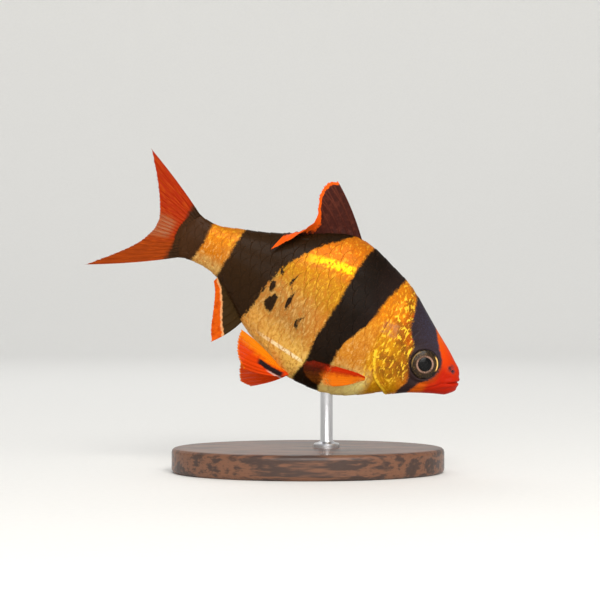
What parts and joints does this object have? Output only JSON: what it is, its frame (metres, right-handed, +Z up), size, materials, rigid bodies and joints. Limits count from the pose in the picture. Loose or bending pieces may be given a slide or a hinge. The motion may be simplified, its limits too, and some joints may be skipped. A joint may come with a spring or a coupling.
{
  "type": "tiger barb",
  "caption": "Life-size banded tiger barb, deep bodied, swimming head down with spread fins, held by a rod on an oval display base.",
  "frame": {"origin": "centre of the display base's underside, on the floor that it rests on", "axes": "+X towards the fish's head, +Y towards its left side, +Z up; the fish is pitched head down about Y"},
  "size_m": [0.0607, 0.027, 0.0518],
  "materials": {
    "skin": "scaled skin, gold with black bands, wet sheen",
    "eye": "dark iris with a thin gold ring under a clear cornea",
    "dark_fin": "rayed membrane, black with an orange-red margin",
    "red_fin": "rayed membrane, red-orange",
    "clear_fin": "thin rayed membrane, orange and partly see-through",
    "base_wood": "dark stained, satin",
    "rod_steel": "brushed"
  },
  "bodies": {
    "root": {"head": "skin", "trunk": "skin", "tail_stalk": "skin", "eye_left": "eye", "eye_right": "eye", "dorsal_fin": "dark_fin", "caudal_fin_upper": "red_fin", "caudal_fin_lower": "red_fin", "anal_fin": "red_fin", "pelvic_fin_left": "red_fin", "pelvic_fin_right": "red_fin", "pectoral_fin_left": "clear_fin", "pectoral_fin_right": "clear_fin", "stand_base": "base_wood", "stand_rod": "rod_steel"}
  },
  "joints": []
}
